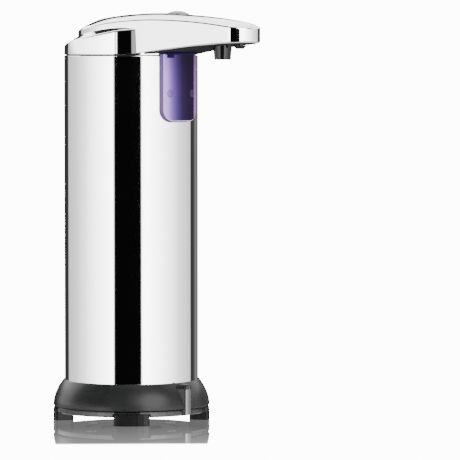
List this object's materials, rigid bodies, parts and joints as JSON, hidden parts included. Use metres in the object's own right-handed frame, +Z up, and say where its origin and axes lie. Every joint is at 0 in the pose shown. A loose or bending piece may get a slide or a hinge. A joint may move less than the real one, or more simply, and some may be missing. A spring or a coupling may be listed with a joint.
{
  "type": "automatic soap dispenser",
  "caption": "Free-standing battery soap dispenser with a polished steel body, a chrome spout, a sensor window, a gear pump, a lift-off filler cap and a twist-off battery cover.",
  "frame": {"origin": "centre of the footprint's bounding box, on the surface the feet stand on", "axes": "+Z up along the body; the spout points along -Y; +X is to the right of someone who faces the spout"},
  "size_m": [0.0748, 0.1174, 0.1948],
  "materials": {
    "base_skirt": "satin black",
    "base_plate": "satin black",
    "foot_front_right": "matte",
    "foot_rear_right": "matte",
    "foot_rear_left": "matte",
    "foot_front_left": "matte",
    "base_screw_1": "plated",
    "base_screw_2": "plated",
    "base_screw_3": "plated",
    "base_screw_4": "plated",
    "battery_housing": "natural white",
    "battery_holder": "satin black",
    "battery_cell_1": "printed wrap",
    "battery_cell_2": "printed wrap",
    "battery_cell_3": "printed wrap",
    "battery_cell_4": "printed wrap",
    "contact_top_a": "nickel-plated",
    "contact_top_b": "nickel-plated",
    "contact_bottom_bridge": "nickel-plated",
    "contact_negative": "nickel-plated",
    "contact_positive": "nickel-plated",
    "battery_lead": "red jacket",
    "body_tube": "mirror polished",
    "reservoir": "translucent",
    "dip_tube": "translucent soft tube",
    "strainer": "natural white",
    "filler_funnel": "natural white",
    "chassis_deck": "natural white",
    "motor_can": "plated",
    "motor_end_cap": "natural white",
    "pump_housing": "natural white",
    "pump_cover": "natural white",
    "idler_pin": "plated",
    "shaft_seal": "matte",
    "outlet_tube": "translucent soft tube",
    "nozzle_elbow": "natural white",
    "nozzle": "glossy black",
    "outlet_valve": "matte",
    "spout_underplate": "satin black",
    "status_lens": "glossy black",
    "status_light": "clear resin",
    "head_shell": "mirror polished, chrome-plated plastic",
    "push_switch": "plated",
    "control_board": "green solder mask",
    "sensor_window": "transparent purple",
    "sensor_holder": "satin black",
    "infrared_emitter": "clear resin",
    "infrared_receiver": "clear resin",
    "sensor_board": "green solder mask",
    "battery_cover": "satin black",
    "cover_seal": "matte",
    "filler_cap": "mirror polished, chrome-plated plastic",
    "filler_seal": "matte",
    "button_cap": "silver grey",
    "switch_plunger": "satin black",
    "motor_rotor": "plated",
    "drive_gear": "natural nylon",
    "driven_gear": "natural nylon"
  },
  "bodies": {
    "dispenser": {"base_skirt": "base_skirt", "base_plate": "base_plate", "foot_front_right": "foot_front_right", "foot_rear_right": "foot_rear_right", "foot_rear_left": "foot_rear_left", "foot_front_left": "foot_front_left", "base_screw_1": "base_screw_1", "base_screw_2": "base_screw_2", "base_screw_3": "base_screw_3", "base_screw_4": "base_screw_4", "battery_housing": "battery_housing", "battery_holder": "battery_holder", "battery_cell_1": "battery_cell_1", "battery_cell_2": "battery_cell_2", "battery_cell_3": "battery_cell_3", "battery_cell_4": "battery_cell_4", "contact_top_a": "contact_top_a", "contact_top_b": "contact_top_b", "contact_bottom_bridge": "contact_bottom_bridge", "contact_negative": "contact_negative", "contact_positive": "contact_positive", "battery_lead": "battery_lead", "body_tube": "body_tube", "reservoir": "reservoir", "dip_tube": "dip_tube", "strainer": "strainer", "filler_funnel": "filler_funnel", "chassis_deck": "chassis_deck", "motor_can": "motor_can", "motor_end_cap": "motor_end_cap", "pump_housing": "pump_housing", "pump_cover": "pump_cover", "idler_pin": "idler_pin", "shaft_seal": "shaft_seal", "outlet_tube": "outlet_tube", "nozzle_elbow": "nozzle_elbow", "nozzle": "nozzle", "outlet_valve": "outlet_valve", "spout_underplate": "spout_underplate", "status_lens": "status_lens", "status_light": "status_light", "head_shell": "head_shell", "push_switch": "push_switch", "control_board": "control_board", "sensor_window": "sensor_window", "sensor_holder": "sensor_holder", "infrared_emitter": "infrared_emitter", "infrared_receiver": "infrared_receiver", "sensor_board": "sensor_board"},
    "battery_cover": {"battery_cover": "battery_cover", "cover_seal": "cover_seal"},
    "filler_cap": {"filler_cap": "filler_cap", "filler_seal": "filler_seal"},
    "push_button": {"button_cap": "button_cap", "switch_plunger": "switch_plunger"},
    "motor_shaft": {"motor_rotor": "motor_rotor", "drive_gear": "drive_gear"},
    "driven_gear": {"driven_gear": "driven_gear"}
  },
  "joints": [
    {"name": "battery_cover_twist", "type": "hinge", "parent": "dispenser", "child": "battery_cover", "pos_m": [0, 0.0213, 0.0054], "axis": [0, 0, 1], "range_deg": [0, 45]},
    {"name": "filler_cap_lift", "type": "slide", "parent": "dispenser", "child": "filler_cap", "axis": [0, 0, 1], "range_m": [0, 0.025]},
    {"name": "button_press", "type": "slide", "parent": "dispenser", "child": "push_button", "axis": [0, 0.0647, -0.9979], "range_m": [0, 0.0006], "stiffness_N_per_m": 800, "springref_m": -0.0003},
    {"name": "motor_spin", "type": "hinge", "parent": "dispenser", "child": "motor_shaft", "pos_m": [0, 0.0093, 0.1556], "axis": [0, 0, 1], "continuous": true},
    {"name": "driven_gear_spin", "type": "hinge", "parent": "dispenser", "child": "driven_gear", "pos_m": [0, -0.0007, 0.1756], "axis": [0, 0, 1], "continuous": true}
  ],
  "couplings": [
    {"joint": "driven_gear_spin", "follows": "motor_spin", "ratio": -1}
  ]
}
